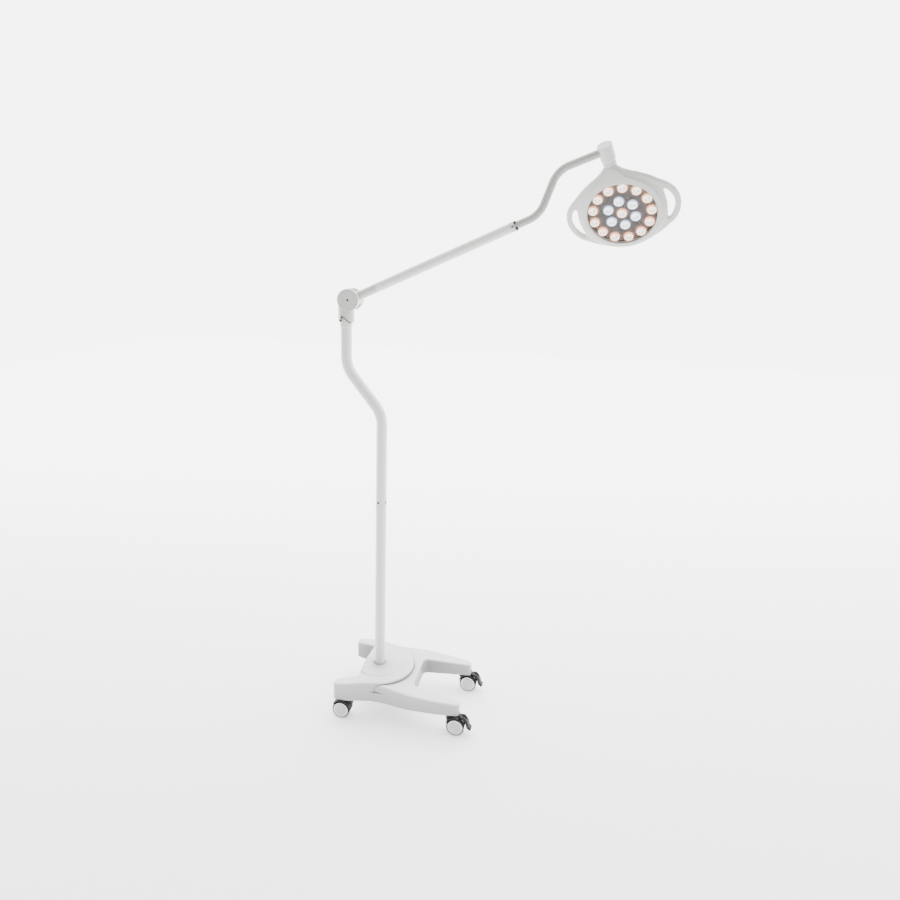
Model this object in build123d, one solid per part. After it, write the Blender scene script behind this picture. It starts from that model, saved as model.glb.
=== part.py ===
from build123d import *
import os
from math import cos, radians, sin, tan

# Mobile surgical examination light on a four-caster stand.
# Frame: millimetres, +Z up, origin on the floor under the pole's foot.
# The long legs and the lamp arm point along +X, and the lamp head looks towards -Y.

# ---- driving dimensions ----------------------------------------------------

# stand base
BASE_UNDERSIDE = 70.5
COVER_TOP = 142.4
SHELL_TOP = 136.0
LONG_LEG_TIP_TOP = 112.5
SHORT_LEG_TIP_TOP = 130.0
SHELL_WALL = 4.0
DISC_RADIUS = 128.4
DISC_SEAT_Z = 127.7
RIDGE_RADIUS = 87.0
RIDGE_HEIGHT = 1.6
SKIRT_TOP = 106.0
SPLIT_HIGH_X = 18.0
SPLIT_LOW_X = 1.0
PARTING_GAP = 0.4
DISC_GROOVE = 2.8
FRAME_PLATE = 4.5
LONG_LEG_END_X = 331.0
SHORT_LEG_END_X = -130.0
SHORT_LEG_SLOPE = 0.225
NOTCH_X = 152.0

# inside the base
SCREW_RADIUS = 2.5
SOCKET_RADIUS = 8.0
WEIGHT_RADIUS = 88.0
WEIGHT_TOP = 121.0
BAR_TOP = 106.0
INLET_Z = 101.0

# casters: stem positions, wheel size and trail
FRONT_STEM = (297.0, 124.0)
REAR_STEM = (-74.0, 134.0)
WHEEL_RADIUS = 32.0
CASTER_TRAIL = 24.0
WEB_HALF = 4.0
WHEEL_INNER = 5.0
WHEEL_OUTER = 20.5
RIM_RADIUS = 27.0
AXLE_RADIUS = 4.0
STEM_RADIUS = 5.0
STEM_TOP = 106.0
RUNNING_GAP = 0.05
PEDAL_PIVOT = (19.0, 64.5)
PEDAL_EAR_RADIUS = 4.5
PEDAL_TOP = 69.3
PEDAL_HALF = 11.0

# pole
POLE_RADIUS = 19.0
POLE_BORE = 17.0
POLE_FOOT_Z = 84.0
POLE_SEAM_Z = 772.0
LOWER_BEND_Z = 1104.0
UPPER_BEND_Z = 1262.0
POLE_OFFSET = 129.3
POLE_BEND_RADIUS = 110.0
POLE_TOP_Z = 1404.0
POLE_HOLE_RADIUS = 21.7

# elbow on the pole's top
COLLAR_RADIUS = 21.4
ELBOW_RADIUS = 27.2
ELBOW_SKIRT_Z = 1419.0
ELBOW_TOP_Z = 1487.0
SPINDLE_RADIUS = 10.0
STOP_AZIMUTH = -72.5

# arm hinge: its centre, drum and tongue
HINGE_X = -114.0
HINGE_Z = 1495.0
DRUM_RADIUS = 37.0
DRUM_HALF = 32.0
TONGUE_RADIUS = 30.0
TONGUE_HALF = 10.0
SLOT_HALF = 12.0
PIN_RADIUS = 6.0

# lamp arm, measured along its own axis from the hinge centre
ARM_ANGLE = 25.0
ROOT_RADIUS = 15.0
ARM_BORE = 14.0
SPIGOT_LENGTH = 39.0
RING_FROM = 93.0
ARM_FROM = 101.0
ARM_TO = 586.0
ARM_RADIUS = 16.0
BUSH_TO = 600.0
S_ARM_FROM = 560.0
S_ARM_RADIUS = 12.5
S_ARM_BORE = 10.7
S_ARM_BEND_RADIUS = 85.0
S_ARM_CORNER = 683.0
S_ARM_RISE = 141.4
S_ARM_RISE_ANGLE = 70.5
S_ARM_REACH = 151.1
S_ARM_REACH_ANGLE = 22.3

# lamp head: its two joint angles and its sizes
HEAD_TILT = 34.0
HEAD_SPIN = 15.0
AXIS_TO_WINDOW = 208.4
AXIS_BEHIND_WINDOW = 35.0
SWIVEL_RADIUS = 23.2
SWIVEL_LOW = -27.0
SWIVEL_HIGH = 15.0
CAP_HIGH = 19.3
NECK_TOP = -46.0
NECK_RADIUS = 20.5
HEAD_SHAFT_RADIUS = 8.0
WINDOW_RADIUS = 106.9
WINDOW_SEAT_RADIUS = 108.5
WINDOW_BACK = -4.5
WINDOW_FRONT = -1.5
BEZEL_RADIUS = 126.5
HOUSING_RADIUS = 131.0
HOUSING_BACK = -60.0
BUTTON_HEIGHT = 62.0
HEAD_NECK_TOP = 150.0
COVER_DEPTH = 10.0
HANDLE_REACH = 180.0
OUTER_RING_RADIUS = 91.0
OUTER_RING_COUNT = 13
INNER_RING_RADIUS = 44.0
INNER_RING_COUNT = 6
LENS_RADIUS = 14.2
BOARD_FACE = -12.0
LENS_FACE = -5.2
SINK_RADIUS = 88.0
FIN_PITCH = 12.0

# ---- helpers ----------------------------------------------------------------

PARTS = {}


def keep(name, *solids):
    """Collect the solids of one node; several solids become one group."""
    flat = [s for item in solids for s in item.solids()]
    PARTS[name] = flat[0] if len(flat) == 1 else Compound(children=flat)
    PARTS[name].label = name


def rod(radius, low, high):
    """Cylinder about Z between two heights."""
    return Pos(0, 0, low) * Cylinder(radius, high - low, align=(Align.CENTER, Align.CENTER, Align.MIN))


def pipe(outer, inner, low, high):
    """Hollow cylinder about Z between two heights."""
    return rod(outer, low, high) - rod(inner, low - 1, high + 1)


def slab(face, low, high):
    """Extrude a face of the XY plane between two heights."""
    return Pos(0, 0, low) * extrude(face, high - low)


def block(x, y, z):
    """Box from its three (low, high) ranges."""
    size = [pair[1] - pair[0] for pair in (x, y, z)]
    centre = [(pair[0] + pair[1]) / 2 for pair in (x, y, z)]
    return Pos(*centre) * Box(*size)


def side_profile(points, radii, half_width):
    """Solid of constant section along Y, from an outline in the XZ plane."""
    outline = FilletPolyline(*[(x, z) for x, z in points], radius=radii, close=True)
    return extrude(Plane.XZ * make_face(outline), half_width, both=True)


def swept_rod(path, radius):
    """Round bar along a path."""
    return sweep(Plane(path @ 0, z_dir=path % 0) * Circle(radius), path=path)


def both_sides(points):
    """Close an outline given for y >= 0 by its mirror image."""
    return points + [(x, -y) for x, y in reversed(points) if y > 0]


def soften(solid, edges, radii):
    """Fillet edges with the largest of the radii that works."""
    for radius in radii:
        try:
            rounded = fillet(edges, radius)
            if rounded.is_valid:
                return rounded
        except (ValueError, RuntimeError):
            continue
    print("no fillet on", len(edges), "edges")
    return solid


# ---- stand base -------------------------------------------------------------

# Outline of the lower shell for y >= 0: (x, y, corner radius).
SHELL_OUTLINE = [
    (-40.0, 112.0, 8.0),
    (19.0, 126.0, 8.0),
    (150.0, 145.5, 260.0),
    (250.0, 143.0, 260.0),
    (LONG_LEG_END_X, 134.0, 15.0),
    (LONG_LEG_END_X, 104.0, 13.0),
    (NOTCH_X, 80.0, 20.0),
]

# Outline of the short legs for y >= 0, from the middle of the back wall to the round disc.
SHORT_LEG_OUTLINE = [
    (-62.0, 0.0, 300.0),
    (-50.0, 96.0, 14.0),
    (-104.0, 109.0, 60.0),
    (SHORT_LEG_END_X, 117.0, 12.0),
    (SHORT_LEG_END_X, 150.0, 14.0),
    (-78.0, 149.4, 90.0),
]


def symmetric(outline):
    """Corner points and radii of a whole outline, from those given for y >= 0."""
    whole = outline + [(x, -y, r) for x, y, r in reversed(outline) if y > 0]
    return [(x, y) for x, y, _ in whole], [r for _, _, r in whole]


def shell_outline():
    points, radii = symmetric(SHELL_OUTLINE)
    return make_face(FilletPolyline(*points, radius=radii, close=True))


def cover_outline():
    """Round disc and short legs, whose outer edges leave the disc tangentially."""
    touch_x = DISC_RADIUS * sin(SHORT_LEG_SLOPE)
    touch_y = DISC_RADIUS * cos(SHORT_LEG_SLOPE)
    back = [(x, y) for x, y, _ in reversed(SHORT_LEG_OUTLINE)]
    back = back + [(x, -y) for x, y, _ in SHORT_LEG_OUTLINE if y > 0]
    radii = [r for _, _, r in reversed(SHORT_LEG_OUTLINE)]
    radii = radii + [r for _, y, r in SHORT_LEG_OUTLINE if y > 0]
    legs = FilletPolyline((touch_x, touch_y), *back, (touch_x, -touch_y), radius=radii)
    disc = ThreePointArc((touch_x, -touch_y), (DISC_RADIUS, 0), (touch_x, touch_y))
    return make_face([legs, disc])


def skirt_outline():
    """The lower wall runs straight across the valley between the legs."""
    start = SPLIT_LOW_X - 10
    bridge = make_face(Polyline((start, 131.3), (60, 132.1), (60, 100), (start, 100), close=True))
    return shell_outline() + bridge + mirror(bridge, about=Plane.XZ)


def cover_roof(drop=0.0):
    """Space under the cover's top, which falls away along the short legs."""
    top = COVER_TOP - drop
    tip = SHORT_LEG_TIP_TOP - drop
    points = [(-150, 0), (-150, tip - 2.0), (-35, top), (400, top), (400, 0)]
    return side_profile(points, [0.1, 0.1, 300.0, 0.1, 0.1], 200)


def shell_roof(drop=0.0):
    """Space under the long legs' top, which falls towards their tips."""
    top = SHELL_TOP - drop
    tip = LONG_LEG_TIP_TOP - drop
    points = [(-150, 0), (-150, top), (50, top), (LONG_LEG_END_X, tip), (400, tip - 6.0), (400, 0)]
    return side_profile(points, [0.1, 0.1, 300.0, 0.1, 0.1, 0.1], 200)


def cover_zone(gap):
    """Space that belongs to the raised cover, shrunk by half a parting gap."""
    legs_high = block((-300, SPLIT_HIGH_X - gap), (-300, 300), (SKIRT_TOP + gap, 300))
    legs_low = block((-300, SPLIT_LOW_X - gap), (-300, 300), (0, 300))
    disc = rod(DISC_RADIUS - gap, DISC_SEAT_Z, 300)
    return legs_high + legs_low + disc


def rounded_top(solid, bend_x, radii):
    """Round the rim of the top face, leaving the smooth bend lines that cross it near bend_x."""
    rim = solid.edges().filter_by(lambda e: e.bounding_box().min.Z > BASE_UNDERSIDE + 25)
    rim = rim.filter_by(lambda e: e.bounding_box().size.X > 0.01 or abs(e.center().X - bend_x) > 45)
    return soften(solid, rim, radii)


def make_base():
    pole_hole = rod(POLE_HOLE_RADIUS, 0, 300)

    cover = rounded_top(slab(cover_outline(), BASE_UNDERSIDE, 200) & cover_roof(), -35, (6.0, 5.0, 4.0, 3.0))
    hollow = slab(offset(cover_outline(), -SHELL_WALL), 0, 200) & cover_roof(SHELL_WALL)
    cover = (cover & cover_zone(0.0)) - hollow
    ridge = rod(RIDGE_RADIUS, COVER_TOP - 0.5, COVER_TOP + RIDGE_HEIGHT)
    ridge = chamfer(ridge.edges().group_by(Axis.Z)[-1], RIDGE_HEIGHT * 0.8, RIDGE_HEIGHT * 2.2)
    ridge = ridge & block((-52, 300), (-300, 300), (0, 300))
    inlet_hole = block((-70, -50), (-14.1, 14.1), (INLET_Z - 12.1, INLET_Z + 12.1))
    keep("base_cover", cover + ridge - pole_hole - inlet_hole)

    outline = shell_outline()
    shell = rounded_top(slab(outline, BASE_UNDERSIDE, 200) & shell_roof(), 50, (7.0, 6.0, 5.0, 4.0, 3.0))
    shell = shell + slab(skirt_outline(), BASE_UNDERSIDE, SKIRT_TOP)
    shell = shell - cover_zone(-PARTING_GAP) - rod(DISC_RADIUS + DISC_GROOVE, DISC_SEAT_Z, 300)
    hollow = slab(offset(outline, -SHELL_WALL), 0, 200) & shell_roof(SHELL_WALL)
    hollow = hollow - rod(DISC_RADIUS + SHELL_WALL, DISC_SEAT_Z - SHELL_WALL, 300)
    hollow_low = slab(offset(skirt_outline(), -SHELL_WALL), 0, SKIRT_TOP - SHELL_WALL)
    keep("base_shell", shell - hollow - hollow_low - rod(DISC_RADIUS - 12, DISC_SEAT_Z - 6, 300))


def base_floor(inset):
    """Plan of the space between the walls at floor level."""
    front = Pos(200 + SPLIT_LOW_X + 1, 0) * Rectangle(400, 400)
    return offset(cover_outline(), -inset) + (offset(skirt_outline(), -inset) & front)


def stem_places():
    """Every caster's stem, with the direction in which its wheel trails."""
    front_x, front_y = FRONT_STEM
    rear_x, rear_y = REAR_STEM
    return {
        "fl": (rear_x, -rear_y, 180.0),
        "fr": (front_x, -front_y, 0.0),
        "rl": (rear_x, rear_y, 12.0),
        "rr": (front_x, front_y, 0.0),
    }


SCREW_PLACES = [(-105, 128), (-30, 118), (60, 118), (150, 113), (230, 113)]


def make_base_inside():
    places = stem_places().values()
    plate = slab(base_floor(SHELL_WALL + 0.3), BASE_UNDERSIDE + 0.2, BASE_UNDERSIDE + FRAME_PLATE)
    floor = BASE_UNDERSIDE + FRAME_PLATE
    socket = pipe(SOCKET_RADIUS, STEM_RADIUS + RUNNING_GAP, BASE_UNDERSIDE + 0.2, STEM_TOP + 2)
    sockets = [Pos(x, y, 0) * socket for x, y, _ in places]
    for x, y, _ in places:
        plate = plate - Pos(x, y, 0) * rod(STEM_RADIUS + RUNNING_GAP, 0, 200)
    screws = []
    for x, y in both_sides(SCREW_PLACES):
        plate = plate - Pos(x, y, 0) * rod(SCREW_RADIUS, 0, 200)
        head = rod(4.5, BASE_UNDERSIDE - 2.0, BASE_UNDERSIDE + 0.2)
        screws.append(Pos(x, y, 0) * (head + rod(SCREW_RADIUS, BASE_UNDERSIDE - 1, floor + 6)))
    keep("base_screws", *screws)

    weight = rod(WEIGHT_RADIUS, floor, WEIGHT_TOP) & block((-40, 200), (-200, 200), (0, 200))
    weight = weight - rod(27, 0, 200)
    for x, y in both_sides(SCREW_PLACES):
        weight = weight - Pos(x, y, 0) * rod(SCREW_RADIUS + 1, 0, 200)
    bars = []
    for side in (-1, 1):
        inner = sorted((side * 100.0, side * 108.0))
        bars.append(block((140, 250), inner, (floor, BAR_TOP)))
        outer = sorted((side * 120.0, side * 134.0))
        bars.append(block((130, 262), outer, (floor, BAR_TOP)))
    keep("counterweight", weight, *bars)

    pole_socket = rod(26, floor - 1, POLE_FOOT_Z) + pipe(23, POLE_RADIUS, POLE_FOOT_Z, DISC_SEAT_Z - 6)
    keep("base_frame", plate + pole_socket + sockets)
    keep("power_supply", block((98, 142), (-48, 48), (floor, 108)))

    inlet = block((-66, -46), (-14, 14), (INLET_Z - 12, INLET_Z + 12))
    inlet = fillet(inlet.edges().filter_by(Axis.X), 4)
    recess = block((-67, -52), (-10, 10), (INLET_Z - 7, INLET_Z + 7))
    recess = fillet(recess.edges().filter_by(Axis.X), 6.9)
    pins = [Pos(-60, y, INLET_Z) * Rot(0, 90, 0) * Cylinder(1.2, 17) for y in (-4.5, 4.5)]
    keep("power_inlet", inlet - recess + pins)


# ---- casters ----------------------------------------------------------------

def caster_frame(place):
    x, y, heading = place
    return Pos(x, y, 0) * Rot(0, 0, heading)


def across(radius, low, high, x=CASTER_TRAIL, z=WHEEL_RADIUS):
    """Cylinder along Y in the caster's own frame, about the wheel's axle by default."""
    return Pos(x, 0, z) * Rot(-90, 0, 0) * rod(radius, low, high)


def make_fork(braked):
    hood = across(WHEEL_RADIUS + 4.5, -WHEEL_OUTER, WHEEL_OUTER)
    hood_end = CASTER_TRAIL + (10 if braked else 30)
    hood = hood & block((CASTER_TRAIL - 40, hood_end), (-30, 30), (42, 69))
    boss = rod(12.5, 50, BASE_UNDERSIDE - 0.5)
    web = across(14, -WEB_HALF, WEB_HALF) + block((-8, CASTER_TRAIL + 14), (-WEB_HALF, WEB_HALF), (30, 60))
    pivot_x = CASTER_TRAIL + PEDAL_PIVOT[0]
    pivot_z = PEDAL_PIVOT[1]
    lug = block((CASTER_TRAIL + 2, pivot_x), (-WEB_HALF, WEB_HALF), (45, pivot_z + PEDAL_EAR_RADIUS))
    lug = lug + across(PEDAL_EAR_RADIUS, -WEB_HALF, WEB_HALF, pivot_x, pivot_z)
    lug = lug - across(2.0 + RUNNING_GAP, -30, 30, pivot_x, pivot_z)
    fork = hood + boss + web
    if braked:
        fork = fork + lug
    for side in (-1, 1):
        low, high = sorted((side * WEB_HALF, side * (WHEEL_OUTER + 5)))
        fork = fork - across(WHEEL_RADIUS + 1.5, low, high)
    fork = fork - across(AXLE_RADIUS + RUNNING_GAP, -30, 30)
    return fork + rod(STEM_RADIUS, BASE_UNDERSIDE - 3, STEM_TOP)


def make_tyres():
    tyres = []
    for side in (-1, 1):
        low, high = sorted((side * WHEEL_INNER, side * WHEEL_OUTER))
        tyre = across(WHEEL_RADIUS, low, high)
        tyre = fillet(tyre.edges().filter_by(GeomType.CIRCLE), 3.0)
        tyres.append(tyre - across(RIM_RADIUS, low - 1, high + 1))
    return tyres


def make_wheel_core():
    core = across(AXLE_RADIUS, -WHEEL_OUTER, WHEEL_OUTER)
    for side in (-1, 1):
        low, high = sorted((side * WHEEL_INNER, side * WHEEL_OUTER))
        core = core + across(RIM_RADIUS, low, high)
        cap_low, cap_high = sorted((side * (WHEEL_OUTER - 1), side * (WHEEL_OUTER + 1.5)))
        cap = across(20.0, cap_low, cap_high)
        groove_low, groove_high = sorted((side * (WHEEL_OUTER - 1.2), side * (WHEEL_OUTER + 1)))
        groove = across(22.0, groove_low, groove_high) - across(20.0, groove_low - 1, groove_high + 1)
        core = core - groove + cap
    return core


def make_pedal():
    """Brake pedal: an arched plate with a slot, from the fork's lug to the toe tip."""
    wheel_x, wheel_z = CASTER_TRAIL, WHEEL_RADIUS
    pivot_x = wheel_x + PEDAL_PIVOT[0]
    arch = across(48, -PEDAL_HALF, PEDAL_HALF) - across(38, -30, 30)
    arch = arch & block((wheel_x + 14, wheel_x + 60), (-30, 30), (wheel_z + 4, PEDAL_TOP))
    toe = Polyline((38, 4), (48, 4), (56, -6), (50, -11), (38, 0), close=True)
    toe = Pos(wheel_x, 0, wheel_z) * extrude(Plane.XZ * make_face(toe), PEDAL_HALF, both=True)
    ears = across(PEDAL_EAR_RADIUS, -WEB_HALF - 3.5, WEB_HALF + 3.5, pivot_x, PEDAL_PIVOT[1])
    slot_axis = Pos(wheel_x, 0, wheel_z) * Rot(0, 45, 0)
    slot = slot_axis * extrude(SlotOverall(18, 9), 60)
    pedal = arch + toe + ears - slot
    pedal = pedal - block((0, wheel_x + 28), (-WEB_HALF - 0.3, WEB_HALF + 0.3), (0, 90))
    return pedal + across(2.0, -WEB_HALF - 1, WEB_HALF + 1, pivot_x, PEDAL_PIVOT[1])


def make_casters():
    for name, place in stem_places().items():
        braked = name in ("fr", "rr")
        frame = caster_frame(place)
        keep("caster_" + name + "_fork", frame * make_fork(braked))
        keep("caster_" + name + "_tyres", *[frame * tyre for tyre in make_tyres()])
        keep("caster_" + name + "_wheel", frame * make_wheel_core())
        if braked:
            keep("brake_pedal_" + name, frame * make_pedal())


# ---- pole -------------------------------------------------------------------

def make_pole():
    keep("lower_pole", pipe(POLE_RADIUS, POLE_BORE, POLE_FOOT_Z, POLE_SEAM_Z - 0.4))
    keep("pole_spigot", pipe(POLE_BORE, POLE_BORE - 2.5, POLE_SEAM_Z - 70, POLE_SEAM_Z + 70))

    points = [(0, 0, POLE_SEAM_Z), (0, 0, LOWER_BEND_Z), (-POLE_OFFSET, 0, UPPER_BEND_Z),
              (-POLE_OFFSET, 0, POLE_TOP_Z)]
    path = FilletPolyline(*points, radius=POLE_BEND_RADIUS)
    upper = swept_rod(path, POLE_RADIUS) - swept_rod(path, POLE_BORE)
    screws = []
    for angle in (-107.0, -17.0):
        frame = Pos(0, 0, POLE_SEAM_Z + 12) * Rot(0, 0, angle) * Rot(0, 90, 0)
        upper = upper - frame * rod(2.5, 0, 40)
        head = frame * rod(4.2, POLE_RADIUS - 0.4, POLE_RADIUS + 1.2)
        upper = upper - head
        screws.append(head + frame * rod(2.5, POLE_BORE, POLE_RADIUS))
    keep("upper_pole", upper)
    keep("pole_screws", *screws)


def stop_plane():
    """Upright plane through the pole's upper axis, facing the stop."""
    east = cos(radians(STOP_AZIMUTH))
    north = sin(radians(STOP_AZIMUTH))
    return Plane(origin=(-POLE_OFFSET, 0, 0), x_dir=(-north, east, 0), z_dir=(east, north, 0))


def ramp_cut(low):
    """Prism whose lower-left edge slopes like a screw ramp, seen from the stop's side."""
    points = [(-20.5, low), (-18, low + 18), (-12, low + 23), (-5, low + 20), (9, low + 5), (16.5, low),
              (16.5, low - 30), (-20.5, low - 30)]
    outline = FilletPolyline(*points, radius=[1, 5, 5, 8, 4, 1, 1, 1], close=True)
    return stop_plane() * extrude(make_face(outline), 60)


def ramp_window(low):
    """Space above the ramp, in front of the collar."""
    points = [(-21.6, low + 14), (-12, low + 13), (-4, low + 9), (8, low - 1), (13, low - 3), (17, low - 3),
              (17, low + 60), (-21.6, low + 60)]
    outline = Polyline(*points, close=True)
    return stop_plane() * extrude(make_face(outline), 60)


def make_elbow():
    top = Pos(-POLE_OFFSET, 0, 0)
    collar = rod(COLLAR_RADIUS, 1400, 1440)
    collar = chamfer(collar.edges().group_by(Axis.Z)[0], 5.0, 1.6)
    collar = collar - rod(POLE_RADIUS, 1390, POLE_TOP_Z) - rod(13, 1390, 1450)
    collar = collar + pipe(POLE_BORE, 13, 1340, POLE_TOP_Z + 1)
    collar = top * collar - (ramp_window(ELBOW_SKIRT_Z) - top * rod(14.5, 1300, 1500))
    keep("pole_collar", collar)
    keep("swivel_bush", top * pipe(13, SPINDLE_RADIUS + RUNNING_GAP, 1341, 1440))
    keep("swivel_spindle", top * rod(SPINDLE_RADIUS, 1330, 1452) + top * rod(12.4, 1326, 1338))

    hinge = Pos(HINGE_X, 0, HINGE_Z) * Rot(-90, 0, 0)
    body = top * (rod(ELBOW_RADIUS, ELBOW_SKIRT_Z, ELBOW_TOP_Z) - rod(COLLAR_RADIUS + 0.6, 1300, 1446))
    body = body - ramp_cut(ELBOW_SKIRT_Z)
    for side in (-1, 1):
        low, high = sorted((side * TONGUE_HALF, side * 60.0))
        body = body - hinge * rod(DRUM_RADIUS + 0.7, low, high)
    sweep_room = hinge * (rod(DRUM_RADIUS + 0.7, -60, 60) - rod(TONGUE_RADIUS, -61, 61))
    corners = [(-5, -4), (16, -60), (80, -60), (80, 60), (-5, 60)]
    clear_arc = Pos(HINGE_X, 0, HINGE_Z) * side_profile(corners, [0.1] * len(corners), 60)
    tongue = hinge * rod(TONGUE_RADIUS, -TONGUE_HALF, TONGUE_HALF)
    body = body + tongue - (sweep_room & clear_arc)
    body = body - hinge * rod(PIN_RADIUS + RUNNING_GAP, -60, 60) - top * rod(SPINDLE_RADIUS, 1300, 1452)
    screw_angle = STOP_AZIMUTH - 46
    screw_frame = top * Pos(0, 0, ELBOW_SKIRT_Z + 5) * Rot(0, 0, screw_angle) * Rot(0, 90, 0)
    head = screw_frame * rod(2.8, ELBOW_RADIUS - 1.5, ELBOW_RADIUS + 0.8)
    shank = screw_frame * rod(1.8, COLLAR_RADIUS + 0.6, ELBOW_RADIUS - 1)
    keep("elbow_bracket", body - head - shank)
    keep("stop_screw", head + shank)


# ---- arm --------------------------------------------------------------------

def direction(angle):
    return (cos(radians(angle)), 0, sin(radians(angle)))


def point_from(start, angle, length):
    way = direction(angle)
    return (start[0] + length * way[0], 0, start[2] + length * way[2])


HINGE = (HINGE_X, 0, HINGE_Z)
ARM_PLANE = Plane(origin=HINGE, x_dir=(0, -1, 0), z_dir=direction(ARM_ANGLE))
CORNER_1 = point_from(HINGE, ARM_ANGLE, S_ARM_CORNER)
CORNER_2 = point_from(CORNER_1, S_ARM_RISE_ANGLE, S_ARM_RISE)
HEAD_PIVOT = point_from(CORNER_2, S_ARM_REACH_ANGLE, S_ARM_REACH)


def make_knuckle():
    hinge = Pos(*HINGE) * Rot(-90, 0, 0)
    drum = hinge * rod(DRUM_RADIUS, -DRUM_HALF, DRUM_HALF)
    drum = fillet(drum.edges().filter_by(GeomType.CIRCLE), 1.5)
    for side in (-1, 1):
        low, high = sorted((side * (DRUM_HALF - 3), side * (DRUM_HALF + 1)))
        drum = drum - hinge * rod(34.0, low, high)
    root = ARM_PLANE * (rod(ROOT_RADIUS, 20, RING_FROM) + rod(ARM_BORE, 20, ARM_FROM + SPIGOT_LENGTH))
    slot = hinge * rod(DRUM_RADIUS + 20, -SLOT_HALF, SLOT_HALF)
    keep_arc = ARM_PLANE * side_wedge(26.0, 46.0)
    inner_slot = hinge * rod(TONGUE_RADIUS + 0.8, -SLOT_HALF, SLOT_HALF)
    knuckle = drum + root - (slot - keep_arc) - inner_slot
    knuckle = knuckle - hinge * rod(PIN_RADIUS, -60, 60) - ARM_PLANE * rod(5.0, 20, 200)
    keep("arm_knuckle", knuckle)

    pin = hinge * rod(PIN_RADIUS, -28.9, 28.9)
    screw = hinge * (rod(2.2, 20, 31.0) + rod(3.2, 30.4, 32.6))
    pin = pin - hinge * rod(2.2, 20, 40) - hinge * rod(2.2, -40, -20)
    keep("hinge_pin", pin)
    keep("hinge_screws", screw, mirror(screw, about=Plane.XZ))
    cap = hinge * (rod(33.9, 29.0, 31.8) - rod(3.3, 0, 40))
    keep("knuckle_caps", cap, mirror(cap, about=Plane.XZ))
    washers = [hinge * pipe(24, PIN_RADIUS, *sorted((side * (TONGUE_HALF + 0.05), side * SLOT_HALF)))
               for side in (-1, 1)]
    keep("friction_washers", *washers)


def side_wedge(above, below):
    """Wedge about the arm's axis, in the arm's own frame, where a wall joins the two cheeks."""
    reach = 80.0
    corners = [(0, 0), (reach, reach * tan(radians(above))), (reach, -reach * tan(radians(below)))]
    wedge = make_face(Polyline(*corners, close=True))
    return extrude(Plane(origin=(0, 0, 0), x_dir=(0, 0, 1), z_dir=(1, 0, 0)) * wedge, 60, both=True)


def make_arm():
    keep("arm_ring", ARM_PLANE * pipe(ARM_RADIUS - 0.4, ARM_BORE, RING_FROM, ARM_FROM))
    keep("arm_tube", ARM_PLANE * pipe(ARM_RADIUS, ARM_BORE, ARM_FROM, ARM_TO))
    spring = rod(9.5, 260, 500) + rod(4.0, 60, 261)
    keep("gas_spring", ARM_PLANE * spring)
    anchor = pipe(ARM_BORE, 4.2, 510, 522) + rod(4.2, 500, 522)
    keep("spring_anchor", ARM_PLANE * anchor)

    bush = pipe(ARM_BORE, S_ARM_RADIUS + RUNNING_GAP, S_ARM_FROM - 10, ARM_TO)
    bush = bush + pipe(ARM_RADIUS, S_ARM_RADIUS + RUNNING_GAP, ARM_TO, BUSH_TO)
    screw = ARM_PLANE * Pos(0, 0, 593) * Rot(0, 90, 0)
    head = screw * rod(2.6, ARM_RADIUS - 1.8, ARM_RADIUS + 0.9)
    shank = screw * rod(1.5, S_ARM_RADIUS + 0.3, ARM_RADIUS - 1)
    keep("arm_end_bush", ARM_PLANE * bush - head - shank)
    keep("arm_end_screw", head + shank)


def make_s_arm():
    start = point_from(HINGE, ARM_ANGLE, S_ARM_FROM)
    end = point_from(CORNER_2, S_ARM_REACH_ANGLE, S_ARM_REACH - 10.0)
    path = FilletPolyline(start, CORNER_1, CORNER_2, end, radius=S_ARM_BEND_RADIUS)
    tube = swept_rod(path, S_ARM_RADIUS) - swept_rod(path, S_ARM_BORE)
    keep("s_arm_tube", tube)
    clip = pipe(15.6, S_ARM_RADIUS, BUSH_TO + 1.0, BUSH_TO + 8.0)
    gap = block((0, 30), (-7, 7), (BUSH_TO - 5, BUSH_TO + 15))
    keep("s_arm_clip", ARM_PLANE * (clip - gap))


# ---- lamp head --------------------------------------------------------------

def head_axes():
    """Unit vectors of the head: sideways, up along its swivel axis, and out of the window."""
    along = Vector(*direction(S_ARM_REACH_ANGLE))
    above = Vector(*direction(S_ARM_REACH_ANGLE + 90))
    front = Vector(0, -1, 0)
    tilt = radians(HEAD_TILT)
    spin = radians(HEAD_SPIN)
    up = above * cos(tilt) + front * sin(tilt)
    facing = front * cos(tilt) - above * sin(tilt)
    out = facing * cos(spin) - along * sin(spin)
    return up.cross(out), up, out


SIDE, UP, OUT = head_axes()
PIVOT = Vector(*HEAD_PIVOT)
SWIVEL_PLANE = Plane(origin=PIVOT, x_dir=SIDE, z_dir=UP)
WINDOW_CENTRE = PIVOT - UP * AXIS_TO_WINDOW + OUT * AXIS_BEHIND_WINDOW
HEAD_PLANE = Plane(origin=WINDOW_CENTRE, x_dir=SIDE, z_dir=OUT)
TILT_PLANE = Plane(origin=PIVOT, x_dir=(0, -1, 0), z_dir=direction(S_ARM_REACH_ANGLE))


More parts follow.
